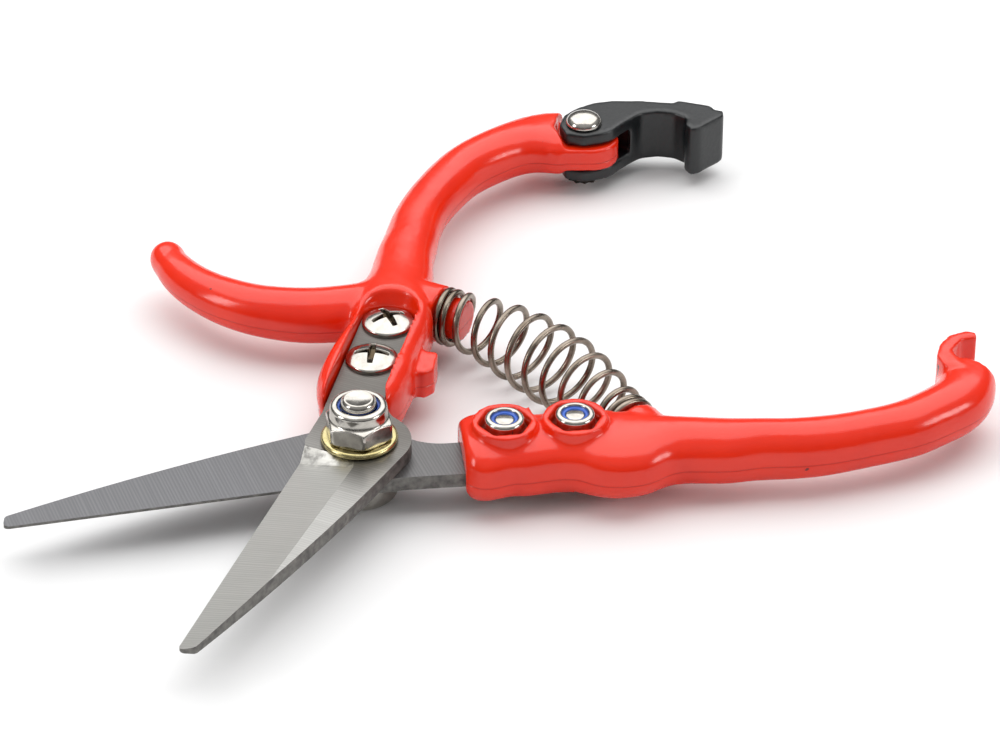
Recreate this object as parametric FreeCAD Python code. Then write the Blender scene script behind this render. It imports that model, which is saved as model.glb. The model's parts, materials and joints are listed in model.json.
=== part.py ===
"""Pruning shears: two cast handles with bolted blades, a pivot bolt, a return spring and a latch.

Millimetres. The origin is on the pivot axis, at the underside of the pivot bolt's head, on which
the shears lie. +X points between the blade tips, +Z is up, along the pivot axis.

Each half is drawn in its own flat frame, as if the shears were closed: x runs along the shears with
the tip at +x, the handle lies at -x and -y, and z is 0 where the two blades meet. The half's own
blade and its screw heads are on the +z side of that plane. The lower half is the same frame turned
over about x. Both halves are then opened about the pivot by half of OPEN_ANGLE each.
"""

import FreeCAD, Part
import math
import os
from math import cos, sin, radians, degrees, atan2, hypot

# ---- overall -------------------------------------------------------------------------------------
OPEN_ANGLE = 44.5            # between closed and open, about the pivot
BLADE_REACH = 59.2           # pivot axis to blade tip
GRIP_LENGTH = 60.8           # along x, from the bolted block to the far end of the grip
HANDLE_THICKNESS = 10.8      # along the pivot axis
TURNING_GAP = 0.04           # between faces that turn on each other

# ---- blades --------------------------------------------------------------------------------------
BLADE_THICKNESS = 2.5
HUB_RADIUS = 8.4             # round part of the blade at the pivot
HEEL = (3.8, -7.9)           # corner of the blade beside the pivot
EDGE_INSET = (1.2, 0.7)      # the ground edge starts this far in from the heel corner
TIP_OVERLAP = 0.5            # how far each cutting edge passes the middle at the tip
TIP_WIDTH = 2.9
TIP_BACK = (1.0, 0.17)       # the tip's back corner lies this far behind its front one, and this much lower
TIP_ROUND = 1.0
SPINE_START = 84.0           # degrees round the hub where the blade's back leaves it
SPINE_SWELL = 1.0            # how far the blade's back bows out between pivot and tip
NECK_START = 166.0           # degrees round the hub where the neck to the tang begins
NECK_LENGTH = 6.5            # along the tang, from the hub to its full width
NECK_FLARE = 0.9             # how much wider the neck is on its way
TANG_WIDTH = 9.2
TANG_TURN = 13.2             # degrees between the tang and the line of the closed shears
TANG_OFFSET = 3.6            # tang centre line to pivot axis
BEVEL_START = 5.2            # x where the ground bevel begins
BEVEL_RUN_IN = 2.2           # along x, until the bevel has its full depth
BEVEL_RIDGE = (2.5, 6.6)     # y of the bevel's upper line at its start and at the tip
EDGE_THICKNESS = 0.5         # left at the cutting edge

# ---- screws that hold the blades -----------------------------------------------------------------
SCREW_DIAMETER = 4.0
SCREW_FROM_PIVOT = 23.1      # along the tang, pivot to front screw
SCREW_SPACING = 11.4
SCREW_HEAD_DIAMETER = 8.8
SCREW_HEAD_HEIGHT = 2.4
SCREW_HEAD_RIM = 0.7
SCREW_NUT_FLATS = 7.0
SCREW_NUT_HEIGHT = 5.0
NUT_SEAT = 2.6               # handle metal between tang and nut
SCREW_PROTRUSION = -0.5      # screw end past the top of its nut; below 0 it ends inside
HOLE_CLEARANCE = 0.15        # all round a screw's shank
POCKET_CLEARANCE = 0.25      # all round a nut in its hex pocket
BOSS_DIAMETER = 10.6
BOSS_HEIGHT = 1.4            # above the handle's face

# ---- lock nuts, as shares of a nut's own sizes ---------------------------------------------------
NUT_CROWN = 0.955            # crown's width to the width across flats
NUT_SEAT_FACE = 0.98         # seat's width to the width across flats
NUT_HEX_SHARE = 0.6          # hexagon's height to the nut's
NUT_LIP = 0.07               # thickness of the rolled lip to the nut's height
NUT_RING_WALL = 0.16         # thickness of the nylon ring to the thread's diameter
NUT_MOUTH_GAP = 0.09         # mouth beyond the thread's surface, to the thread's diameter

# ---- pivot ---------------------------------------------------------------------------------------
PIVOT_DIAMETER = 6.0
PIVOT_RUNNING_CLEARANCE = 0.03
PIVOT_HEAD_DIAMETER = 12.4
PIVOT_HEAD_HEIGHT = 5.1
PIVOT_SQUARE = 6.4           # square neck across flats, held in the lower blade
PIVOT_NUT_FLATS = 10.0
PIVOT_NUT_HEIGHT = 5.9
PIVOT_NUT_TURN = 57.5        # degrees, how the nut happens to stand
PIVOT_PROTRUSION = 1.0       # bolt end above the nut
WASHER_DIAMETER = 12.5
WASHER_THICKNESS = 1.1
WASHER_ROUND = 0.25          # on the outer edges
WASHER_BORE_CLEARANCE = 0.2

# ---- handles -------------------------------------------------------------------------------------
CHANNEL_CLEARANCE = 0.15     # between tang and channel wall, each side
HUB_CLEARANCE = 2.6          # between the other blade's hub and the upper handle
WASHER_ROOM = 0.5            # round the washer
CHANNEL_RIM = 6.0            # top of the upper handle's channel walls above the blade plane
WALL_START = 9.6             # along the tang, where the upper handle's channel walls start
BLOCK_HALF_WIDTH = 7.0       # upper handle beside the tang
LOWER_BLOCK_START = 16.2     # along the tang, front face of the lower handle
HORN_ROOT = (43.1, 3.4)      # where the finger rest begins: along the tang, and outward
HORN_RADIUS = 27.6           # centre line of the curved finger rest
HORN_ROOT_DIAMETER = 10.2
HORN_TIP_DIAMETER = 6.3
HORN_SWEEP = 94.5            # degrees of arc
HORN_START = 50.0            # degrees, heading of its first radius
HORN_TAPER = 1.5             # above 1, the horn keeps its thickness longer before it tapers
STOP_LUG = (6.8, 3.6, 5.4)   # length, height above the block's side, width along z
STOP_LUG_LOW = -2.9          # its lower face above the blade plane
STOP_LUG_FROM_SCREW = 1.6    # its front face ahead of the front screw, along the tang
STOP_LUG_CORNER = (1.5, 1.4) # cut off its front outer corner, along the tang and across it
STOP_LUG_SLOPE = 0.4         # its face falls this much from front to rear
STOP_GAP = 0.12              # left between lug and lower handle when closed
STOP_PAD_ROOT = 4.0          # depth of the lower handle's pad, most of it inside the handle
TONGUE_THICKNESS = 4.4
TONGUE_HALF_WIDTH = 5.1
TONGUE_REACH = 6.3           # beyond the rivet axis
SHOULDER_FROM_RIVET = 3.6    # end of the grip to the rivet axis; hollowed where the latch turns
SHOULDER_SHIFT = 1.3         # centre of the grip's end outward of the rivet
SHOULDER_HALF_WIDTH = 6.6
GRIP_END_THINNER = 0.9       # the grip's end has this much less on top and below
CATCH_HEIGHT = 9.2           # along z

# ---- latch ---------------------------------------------------------------------------------------
LATCH_REACH = 19.6           # rivet axis to the middle of the hook's lip
LATCH_HEIGHT = 10.0          # along z
LATCH_SLOT_CLEARANCE = 0.25  # each side of the tongue
LATCH_SLOT_DEPTH = 8.4       # beyond the rivet axis
LATCH_EYE_RADIUS = 4.5
LATCH_CLEARANCE = 0.35       # round the latch where it turns close to a handle
LATCH_OPENING = 35.0         # degrees it turns outward from where it is drawn
RIVET_DIAMETER = 4.0
RIVET_RUNNING_CLEARANCE = 0.05
RIVET_HEAD_DIAMETER = 6.5
RIVET_HEAD_HEIGHT = 2.1
RIVET_HEAD_RIM = 0.25        # straight edge under the dome
RIVET_END = 0.4              # rivet end below the cap
CAP_DIAMETER = 6.6
CAP_THICKNESS = 0.8
CAP_TEETH = 12
CAP_TOOTH_DEPTH = 0.5

# ---- return spring -------------------------------------------------------------------------------
SPRING_END_DIAMETER = 10.0   # outside
SPRING_MIDDLE_DIAMETER = 13.8
SPRING_WIRE = 1.1
SPRING_BOSS_CLEARANCE = 0.3
SPRING_ROOM_CLEARANCE = 0.6  # between the spring's end and the handle round it
SPRING_BOSS_LENGTH = 4.6
UPPER_SPRING_SEAT = ((-42.8, -6.3), 90.0)    # in the half's frame: place, and heading of the peg
LOWER_SPRING_SEAT = ((-44.0, -9.1), 79.0)
SPRING_SEAT_DEPTH = 5.0      # of the round seat behind the spring's end

# ---- worked out ----------------------------------------------------------------------------------
BLADE_PLANE = PIVOT_HEAD_HEIGHT + BLADE_THICKNESS + TURNING_GAP / 2
BLADE_BOTTOM = TURNING_GAP / 2
BLADE_TOP = BLADE_BOTTOM + BLADE_THICKNESS
HALF_THICKNESS = HANDLE_THICKNESS / 2
BLOCK_END = (-43.2, -15.4)   # centre line where block and grip meet
GRIP_END_X = BLOCK_END[0] - GRIP_LENGTH
STOP_LUG_START = SCREW_FROM_PIVOT - STOP_LUG_FROM_SCREW
RIVET = (GRIP_END_X - 0.6, -8.0)
LATCH_REST = 115.5           # degrees, the latch's own +x in the upper half's frame as drawn here
CUT_TOLERANCE = 0.01
Z = FreeCAD.Vector(0, 0, 1)


def vec(x, y, z=0.0):
    return FreeCAD.Vector(x, y, z)


def along_tang(along, outward=0.0):
    """Point given by its distance along the tang's centre line and its distance outward from it."""
    turn = radians(180 + TANG_TURN)
    side = outward + TANG_OFFSET
    return (along * cos(turn) - side * sin(turn), along * sin(turn) + side * cos(turn))


FRONT_SCREW = along_tang(SCREW_FROM_PIVOT)
REAR_SCREW = along_tang(SCREW_FROM_PIVOT + SCREW_SPACING)
TANG_DIRECTION = radians(180 + TANG_TURN)


# ---- shape helpers -------------------------------------------------------------------------------
def moved(shape, x=0.0, y=0.0, z=0.0):
    shape = shape.copy()
    shape.translate(vec(x, y, z))
    return shape


def cylinder(diameter, z0, z1, at=(0.0, 0.0)):
    return Part.makeCylinder(diameter / 2, z1 - z0, vec(at[0], at[1], z0), Z)


def extrude(points, z0, z1):
    """Straight-sided solid over a polygon."""
    corners = [vec(x, y, z0) for x, y in points]
    return Part.Face(Part.makePolygon(corners + corners[:1])).extrude(vec(0, 0, z1 - z0))


def revolve(points):
    """Solid of revolution about z from (radius, z) points."""
    corners = [vec(r, 0, z) for r, z in points]
    face = Part.Face(Part.makePolygon(corners + corners[:1]))
    return face.revolve(vec(0, 0, 0), Z, 360)


def hexagon(flats, z0, z1, at=(0.0, 0.0), turn=0.0):
    radius = flats / math.sqrt(3)
    corners = [turn + 60 * k for k in range(6)]
    points = [(at[0] + radius * cos(radians(a)), at[1] + radius * sin(radians(a))) for a in corners]
    return extrude(points, z0, z1)


def section(x, y, direction, half_width, half_height, squareness, lift=0.0):
    """Closed smooth outline across a path: a superellipse, rounder when squareness is near 2."""
    points = []
    count = 16
    for k in range(count):
        c, s = cos(2 * math.pi * k / count), sin(2 * math.pi * k / count)
        across = half_width * math.copysign(abs(c) ** (2 / squareness), c)
        up = half_height * math.copysign(abs(s) ** (2 / squareness), s)
        points.append(vec(x - across * sin(direction), y + across * cos(direction), up + lift))
    curve = Part.BSplineCurve()
    curve.interpolate(Points=points, PeriodicFlag=True)
    return Part.Wire([curve.toShape()])


def swept(stations, first=None, last=None):
    """Smooth solid through stations (x, y, half_width, half_height, squareness, lift)."""
    wires = []
    for k, station in enumerate(stations):
        before = stations[max(k - 1, 0)]
        after = stations[min(k + 1, len(stations) - 1)]
        direction = atan2(after[1] - before[1], after[0] - before[0])
        if k == 0 and first is not None:
            direction = first
        if k == len(stations) - 1 and last is not None:
            direction = last
        wires.append(section(station[0], station[1], direction, *station[2:]))
    return Part.makeLoft(wires, True, False)


def carved(solid, *tools):
    """Solid with the tools cut away; the tolerance keeps cuts through lofted faces from failing."""
    for tool in tools:
        solid = solid.cut(tool, CUT_TOLERANCE)
    return solid


def largest(shape):
    """The biggest solid of a result, without slivers."""
    return max(shape.Solids, key=lambda solid: solid.Volume)


# ---- fasteners -----------------------------------------------------------------------------------
def locknut(diameter, flats, height, turn):
    """Hex nut with a round crown that holds a nylon ring. Axis z, seat at z = 0. Gives nut and ring."""
    corner = flats / math.sqrt(3)
    crown = flats * NUT_CROWN / 2
    seat = flats * NUT_SEAT_FACE / 2
    hex_top = height * NUT_HEX_SHARE
    lip = height * NUT_LIP
    body = hexagon(flats, 0, hex_top, turn=turn)
    # both ends of the hexagon are turned off at 30 degrees
    fall = math.tan(radians(30))
    chamfer = revolve([
        (0, 0), (seat, 0), (corner + 0.01, (corner - seat) * fall),
        (corner + 0.01, hex_top - (corner - crown) * fall), (crown, hex_top), (0, hex_top),
    ])
    body = body.common(chamfer)
    # the crown stands on the hexagon and is rolled in over the ring
    collar = revolve([
        (0, hex_top / 2), (crown, hex_top / 2), (crown, height - 3 * lip),
        (crown - lip, height - lip), (crown - 2.4 * lip, height), (0, height),
    ])
    ring_radius = diameter / 2 + NUT_RING_WALL * diameter
    mouth = diameter / 2 + NUT_MOUTH_GAP * diameter
    ring_bottom = hex_top + 0.4 * lip
    ring_top = height - 1.2 * lip
    nut = body.fuse(collar).removeSplitter()
    nut = nut.cut(cylinder(diameter, -1, height + 1))
    nut = nut.cut(cylinder(2 * ring_radius, ring_bottom, ring_top))
    nut = nut.cut(cylinder(2 * mouth, ring_top - 0.01, height + 1))
    ring = cylinder(2 * ring_radius, ring_bottom, ring_top)
    ring = ring.cut(cylinder(diameter, ring_bottom - 1, ring_top + 1))
    return nut, ring


def cross_recess(width, depth):
    """Cross-shaped pit, tapering downward, with its mouth at z = 0."""
    arms = []
    for turn in (0, 90):
        top = Part.makePolygon([vec(*p) for p in (
            (-width / 2, -width / 8, 0.01), (width / 2, -width / 8, 0.01),
            (width / 2, width / 8, 0.01), (-width / 2, width / 8, 0.01), (-width / 2, -width / 8, 0.01))])
        low = Part.makePolygon([vec(*p) for p in (
            (-width / 6, -width / 14, -depth), (width / 6, -width / 14, -depth),
            (width / 6, width / 14, -depth), (-width / 6, width / 14, -depth),
            (-width / 6, -width / 14, -depth))])
        arm = Part.makeLoft([top, low], True, True)
        arm.rotate(vec(0, 0, 0), Z, turn)
        arms.append(arm)
    return arms[0].fuse(arms[1])


def pan_screw(length, turn):
    """Cross-recess screw with a low domed head. The head's seat is at z = 0, the shank points to -z."""
    radius = SCREW_HEAD_DIAMETER / 2
    rise = SCREW_HEAD_HEIGHT - SCREW_HEAD_RIM
    sphere_radius = (radius ** 2 + rise ** 2) / (2 * rise)
    dome = Part.makeSphere(sphere_radius, vec(0, 0, SCREW_HEAD_HEIGHT - sphere_radius))
    head = dome.common(cylinder(SCREW_HEAD_DIAMETER, 0, SCREW_HEAD_HEIGHT + 1))
    point = 0.15 * SCREW_DIAMETER
    shank = revolve([
        (0, 0.2), (SCREW_DIAMETER / 2, 0.2), (SCREW_DIAMETER / 2, point - length),
        (SCREW_DIAMETER / 2 - point, -length), (0, -length),
    ])
    recess = cross_recess(0.6 * SCREW_HEAD_DIAMETER, 0.55 * SCREW_HEAD_HEIGHT)
    recess = moved(recess, z=SCREW_HEAD_HEIGHT)
    recess.rotate(vec(0, 0, 0), Z, turn)
    return head.fuse(shank).removeSplitter().cut(recess)


# ---- blades --------------------------------------------------------------------------------------
def blade_outline():
    """Flat outline of the blade and its tang, as a face at the blade's underside."""
    z = BLADE_BOTTOM
    edge_start = (HEEL[0] + EDGE_INSET[0], HEEL[1] + EDGE_INSET[1])
    slope = atan2(-TIP_OVERLAP - edge_start[1], BLADE_REACH - edge_start[0])
    tip_in = (BLADE_REACH, -TIP_OVERLAP)
    tip_out = (BLADE_REACH - TIP_BACK[0], TIP_WIDTH - TIP_BACK[1] - TIP_OVERLAP)
    # the back leaves the hub along its tangent and bows out on the way to the tip
    spine = radians(SPINE_START)
    spine_start = (HUB_RADIUS * cos(spine), HUB_RADIUS * sin(spine))
    back = []
    for share in (0.25, 0.5, 0.75):
        bow = SPINE_SWELL * 4 * share * (1 - share)
        back.append((tip_out[0] + (spine_start[0] - tip_out[0]) * share,
                     tip_out[1] + (spine_start[1] - tip_out[1]) * share + bow))
    hub_end = radians(NECK_START)
    neck_start = (HUB_RADIUS * cos(hub_end), HUB_RADIUS * sin(hub_end))
    hub_middle = (spine + hub_end) / 2
    half = TANG_WIDTH / 2
    reach = SCREW_FROM_PIVOT + SCREW_SPACING
    neck_end = along_tang(HUB_RADIUS + NECK_LENGTH, -half)
    neck_control = along_tang(HUB_RADIUS + 0.28 * NECK_LENGTH, -half - NECK_FLARE)
    tang_in = along_tang(reach, -half)
    tang_end = along_tang(reach + half, 0)
    tang_out = along_tang(reach, half)
    neck_out = along_tang(HUB_RADIUS - 2.0, half - 0.4)

    def point(p):
        return vec(p[0], p[1], z)

    neck = Part.BSplineCurve()
    neck.interpolate([point(neck_start), point(neck_control), point(neck_end)])
    spine_curve = Part.BSplineCurve()
    spine_curve.interpolate([point(p) for p in [tip_out] + back + [spine_start]])
    edges = [
        Part.LineSegment(point(HEEL), point(edge_start)).toShape(),
        Part.LineSegment(point(edge_start), point(tip_in)).toShape(),
        Part.LineSegment(point(tip_in), point(tip_out)).toShape(),
        spine_curve.toShape(),
        Part.Arc(point(spine_start), vec(HUB_RADIUS * cos(hub_middle), HUB_RADIUS * sin(hub_middle), z),
                 point(neck_start)).toShape(),
        neck.toShape(),
        Part.LineSegment(point(neck_end), point(tang_in)).toShape(),
        Part.Arc(point(tang_in), point(tang_end), point(tang_out)).toShape(),
        Part.LineSegment(point(tang_out), point(neck_out)).toShape(),
        Part.LineSegment(point(neck_out), point(HEEL)).toShape(),
    ]
    return Part.Face(Part.Wire(edges)), slope


def bevel_cutter(slope):
    """Wedge that grinds the blade's face down from the ridge line to the cutting edge."""
    rows = []
    beyond = 2.0
    start, end = BEVEL_START, BLADE_REACH + beyond
    for x, depth in ((start, 0.02), (start + BEVEL_RUN_IN, 1.0), (end, 1.0)):
        ridge = BEVEL_RIDGE[0] + (BEVEL_RIDGE[1] - BEVEL_RIDGE[0]) * (x - start) / (end - start)
        edge = HEEL[1] + EDGE_INSET[1] + (x - HEEL[0] - EDGE_INSET[0]) * math.tan(slope)
        fall = depth * (BLADE_THICKNESS - EDGE_THICKNESS) / (ridge - edge)
        low = BLADE_TOP - fall * (ridge - edge + beyond)
        corners = [vec(x, ridge, BLADE_TOP), vec(x, edge - beyond, low), vec(x, edge - beyond, BLADE_TOP + 3),
                   vec(x, ridge, BLADE_TOP + 3)]
        rows.append(Part.makePolygon(corners + corners[:1]))
    return Part.makeLoft(rows, True, True)


def make_blade(square_hole):
    outline, slope = blade_outline()
    blade = outline.extrude(vec(0, 0, BLADE_THICKNESS))
    tip_edges = [e for e in blade.Edges
                 if abs(e.Vertexes[0].X - e.Vertexes[-1].X) < 1e-6 and len(e.Vertexes) == 2
                 and abs(e.Vertexes[0].Z - e.Vertexes[1].Z) > 1 and e.Vertexes[0].X > BLADE_REACH - TIP_WIDTH]
    blade = blade.makeFillet(TIP_ROUND, tip_edges)
    blade = blade.cut(bevel_cutter(slope))
    for hole in (FRONT_SCREW, REAR_SCREW):
        blade = blade.cut(cylinder(SCREW_DIAMETER + 2 * HOLE_CLEARANCE, -1, BLADE_TOP + 1, hole))
    if square_hole:
        half = PIVOT_SQUARE / 2
        neck = Part.makeBox(PIVOT_SQUARE, PIVOT_SQUARE, BLADE_TOP + 2, vec(-half, -half, -1))
        return largest(blade.cut(neck))
    running = PIVOT_DIAMETER + 2 * PIVOT_RUNNING_CLEARANCE
    return largest(blade.cut(cylinder(running, -1, BLADE_TOP + 1)))


# ---- handles -------------------------------------------------------------------------------------
def grip_stations(block_end):
    """Stations of the curved grip behind the block: share of its length, y, half width."""
    rows = [
        (0.07, -16.6, 5.9, 0.0), (0.15, -18.4, 5.3, 0.1), (0.25, -20.5, 4.9, 0.2), (0.39, -23.0, 4.5, 0.3),
        (0.53, -24.2, 4.35, 0.5), (0.66, -24.2, 4.4, 0.6), (0.77, -23.0, 4.6, 0.6), (0.87, -20.6, 4.9, 0.6),
    ]
    return [(block_end[0] - share * GRIP_LENGTH, y, width, HALF_THICKNESS - thinner, 2.15, 0.0)
            for share, y, width, thinner in rows]


def nut_pockets(solid):
    """Hex pockets and screw holes through the handle, at both screws."""
    for at in (FRONT_SCREW, REAR_SCREW):
        pocket = hexagon(SCREW_NUT_FLATS + 2 * POCKET_CLEARANCE, -HANDLE_THICKNESS, BLADE_BOTTOM - NUT_SEAT,
                         at, turn=degrees(TANG_DIRECTION))
        hole = cylinder(SCREW_DIAMETER + 2 * HOLE_CLEARANCE, -HANDLE_THICKNESS, HANDLE_THICKNESS, at)
        solid = carved(solid, pocket, hole)
    return solid


def nut_bosses():
    face = -HALF_THICKNESS - BOSS_HEIGHT
    front = cylinder(BOSS_DIAMETER, face, -1.0, FRONT_SCREW)
    return front.fuse(cylinder(BOSS_DIAMETER, face, -1.0, REAR_SCREW))


def channel_cutter(top):
    """Channel that the tang lies in, open to the screw heads' side and to the front."""
    half = TANG_WIDTH / 2 + CHANNEL_CLEARANCE
    reach = SCREW_FROM_PIVOT + SCREW_SPACING
    corners = [along_tang(-4, half), along_tang(reach, half), along_tang(reach, -half), along_tang(-4, -half)]
    slot = extrude(corners, BLADE_BOTTOM, top)
    return slot.fuse(cylinder(2 * half, BLADE_BOTTOM, top, REAR_SCREW))


def scoop_cutter():
    """Slanting scoop behind the rear screw head."""
    rows = []
    for height, back, radius in ((BLADE_TOP, 0.0, TANG_WIDTH / 2 + CHANNEL_CLEARANCE),
                                 (CHANNEL_RIM + 1, 1.8, TANG_WIDTH / 2 + 0.3)):
        x, y = along_tang(SCREW_FROM_PIVOT + SCREW_SPACING + back)
        rows.append(Part.Wire([Part.makeCircle(radius, vec(x, y, height))]))
    return Part.makeLoft(rows, True, True)


def with_spring_boss(solid, base, direction):
    """Solid with room for the spring's end, a round seat under it and a peg inside it."""
    inside = SPRING_END_DIAMETER - 2 * SPRING_WIRE - 2 * SPRING_BOSS_CLEARANCE
    axis = vec(cos(radians(direction)), sin(radians(direction)))
    room = Part.makeCylinder(SPRING_END_DIAMETER / 2 + SPRING_ROOM_CLEARANCE, 2 * SPRING_END_DIAMETER,
                             vec(*base), axis)
    start = vec(*base) - axis * SPRING_SEAT_DEPTH
    peg = Part.makeCylinder(inside / 2, SPRING_BOSS_LENGTH + SPRING_SEAT_DEPTH, start, axis)
    seat = Part.makeCylinder(SPRING_END_DIAMETER / 2, SPRING_SEAT_DEPTH, start, axis)
    return carved(solid, room).fuse(peg).fuse(seat)


def stop_face():
    """Ends of the stop lug's face, which meets the other handle's pad when the shears close."""
    reach = -BLOCK_HALF_WIDTH - STOP_LUG[1]
    front = along_tang(STOP_LUG_START + STOP_LUG_CORNER[0], reach)
    return front, along_tang(STOP_LUG_START + STOP_LUG[0], reach + STOP_LUG_SLOPE)


def make_upper_handle():
    top = (CHANNEL_RIM + HALF_THICKNESS) / 2
    lift = CHANNEL_RIM - top
    # stations of the block: distance behind the channel's start, wider than the block, shift outward
    block = []
    for along, wider, outward in ((0.0, -1.9, -0.5), (1.6, -0.6, -0.4), (4.2, 0.3, -0.3), (8.0, 0.65, -0.1),
                                  (13.0, 0.6, -0.1), (21.6, 0.0, -0.5), (29.2, -0.2, 0.0)):
        x, y = along_tang(WALL_START + along, outward)
        block.append((x, y, BLOCK_HALF_WIDTH + wider, top, 3.2, lift))
    block.append((BLOCK_END[0], BLOCK_END[1], 6.4, top - 0.2, 2.5, lift / 2))
    end_direction = radians(LATCH_REST)
    ahead = (cos(end_direction), sin(end_direction))
    aside = (-ahead[1], ahead[0])

    def by_rivet(forward, outward):
        return (RIVET[0] + forward * ahead[0] + outward * aside[0],
                RIVET[1] + forward * ahead[1] + outward * aside[1])

    shoulder = by_rivet(-SHOULDER_FROM_RIVET, SHOULDER_SHIFT)
    grip = grip_stations(BLOCK_END)
    end_height = HALF_THICKNESS - GRIP_END_THINNER
    grip.append(((grip[-1][0] + shoulder[0]) / 2 - 0.9, (grip[-1][1] + shoulder[1]) / 2 - 1.0,
                 5.9, end_height, 2.4, 0.0))
    grip.append((shoulder[0], shoulder[1], SHOULDER_HALF_WIDTH, end_height, 2.6, 0.0))
    solid = swept(block + grip, first=TANG_DIRECTION, last=end_direction)
    # finger rest: a tapering arc from the block
    start = along_tang(*HORN_ROOT)
    centre = (start[0] - HORN_RADIUS * cos(radians(HORN_START)),
              start[1] - HORN_RADIUS * sin(radians(HORN_START)))
    horn = []
    count = 9
    for k in range(count):
        share = k / (count - 1)
        angle = radians(HORN_START - HORN_SWEEP * share)
        taper = share ** HORN_TAPER
        radius = (HORN_ROOT_DIAMETER + (HORN_TIP_DIAMETER - HORN_ROOT_DIAMETER) * taper) / 2
        horn.append((centre[0] + HORN_RADIUS * cos(angle), centre[1] + HORN_RADIUS * sin(angle),
                     radius, radius, 2.0, 0.0))
    x, y, tip_radius = horn[-1][:3]
    heading = radians(HORN_START - HORN_SWEEP - 90)
    for share in (0.5, 0.87, 0.985):
        shrink = math.sqrt(1 - share ** 2) * tip_radius
        horn.append((x + share * tip_radius * cos(heading), y + share * tip_radius * sin(heading),
                     shrink, shrink, 2.0, 0.0))
    solid = carved(solid, latch_room(LATCH_REST, LATCH_OPENING / 4))
    solid = solid.fuse(swept(horn, last=heading))
    solid = with_spring_boss(solid, *UPPER_SPRING_SEAT)
    # tongue for the latch, rooted well inside the grip's end
    half = TONGUE_THICKNESS / 2
    side = TONGUE_HALF_WIDTH
    root = -SHOULDER_FROM_RIVET - 3
    nose = TONGUE_REACH - side
    corners = [by_rivet(root, side), by_rivet(nose, side), by_rivet(nose, -side), by_rivet(root, -side)]
    tongue = extrude(corners, -half, half)
    solid = solid.fuse(tongue.fuse(cylinder(2 * side, -half, half, by_rivet(nose, 0))))
    # stop lug on the inner side of the block
    front, rear = stop_face()
    shoulder_of_lug = along_tang(STOP_LUG_START, STOP_LUG_CORNER[1] - BLOCK_HALF_WIDTH - STOP_LUG[1])
    lug = extrude([along_tang(STOP_LUG_START, 0), shoulder_of_lug, front, rear,
                   along_tang(STOP_LUG_START + STOP_LUG[0], 0)], STOP_LUG_LOW, STOP_LUG_LOW + STOP_LUG[2])
    solid = solid.fuse(lug)
    # room for the other blade's hub, for this blade's own hub and neck, and for the washer and nut
    above = CHANNEL_RIM + 2
    hub_room = cylinder(2 * (HUB_RADIUS + HUB_CLEARANCE), -HANDLE_THICKNESS, BLADE_BOTTOM)
    nut_room = cylinder(WASHER_DIAMETER + 2 * WASHER_ROOM, -HANDLE_THICKNESS, above)
    neck_room = blade_outline()[0].extrude(vec(0, 0, above))
    # moved a little less than the channel's wall stands off, so that no two faces coincide
    neck_room.translate(vec(*along_tang(0, -0.8 * CHANNEL_CLEARANCE)) - vec(*along_tang(0)))
    solid = carved(solid, hub_room, nut_room, channel_cutter(above), neck_room, scoop_cutter())
    solid = nut_pockets(solid)
    return largest(carved(solid, cylinder(RIVET_DIAMETER, -HANDLE_THICKNESS, HANDLE_THICKNESS, RIVET)))


def make_lower_handle(hook):
    # stations of the block: distance behind its front face, half width, shift outward, thinner by
    block = []
    for along, width, outward, thinner in ((0.0, 6.0, 0.3, 1.4), (0.6, 7.1, 0.3, 0.4), (1.8, 7.9, 0.2, 0.0),
                                           (7.8, 7.4, 0.0, 0.0), (14.3, 6.9, 0.2, 0.0),
                                           (19.8, 7.5, 0.6, 0.0)):
        x, y = along_tang(LOWER_BLOCK_START + along, outward)
        block.append((x, y, width, HALF_THICKNESS - thinner, 2.7, 0.0))
    block.append((BLOCK_END[0] + 2.6, BLOCK_END[1] + 0.2, 8.5, HALF_THICKNESS, 2.6, 0.0))
    block.append((BLOCK_END[0], BLOCK_END[1] - 0.4, 7.7, HALF_THICKNESS, 2.4, 0.0))
    grip = grip_stations(BLOCK_END)
    end_height = HALF_THICKNESS - GRIP_END_THINNER
    grip.append((GRIP_END_X + 4.4, -17.1, 5.0, end_height, 2.3, 0.0))
    grip.append((GRIP_END_X + 2.5, -13.5, 4.7, end_height - 0.3, 2.4, 0.0))
    solid = swept(block + grip, first=TANG_DIRECTION, last=radians(108))
    # catch: a neck and a beak past the end of the grip, as offsets from the beak's root
    x, y = GRIP_END_X, -10.0
    half = CATCH_HEIGHT / 2
    catch = extrude([
        (x + 7.6, y - 5.0), (x + 4.4, y - 6.0), (x + 4.2, y - 1.0), (x + 1.4, y + 1.2),
        (x - 1.3, y + 1.0), (x - 1.8, y + 2.4), (x - 0.4, y + 3.5), (x + 2.8, y + 3.2),
        (x + 5.4, y + 1.4), (x + 7.4, y - 1.6),
    ], -half, half)
    solid = solid.fuse(catch)
    solid = solid.fuse(nut_bosses())
    solid = with_spring_boss(solid, *LOWER_SPRING_SEAT)
    # pad that the stop lug meets; this half lies turned over, so y and z change sign
    (front_x, front_y), (rear_x, rear_y) = stop_face()
    pad = extrude([(front_x, -front_y - STOP_GAP), (rear_x, -rear_y - STOP_GAP),
                   (rear_x, -rear_y - STOP_PAD_ROOT), (front_x, -front_y - STOP_PAD_ROOT)],
                  -STOP_LUG_LOW - STOP_LUG[2], -STOP_LUG_LOW)
    solid = solid.fuse(pad)
    solid = carved(solid, hook, channel_cutter(HANDLE_THICKNESS))
    return largest(nut_pockets(solid))


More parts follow.
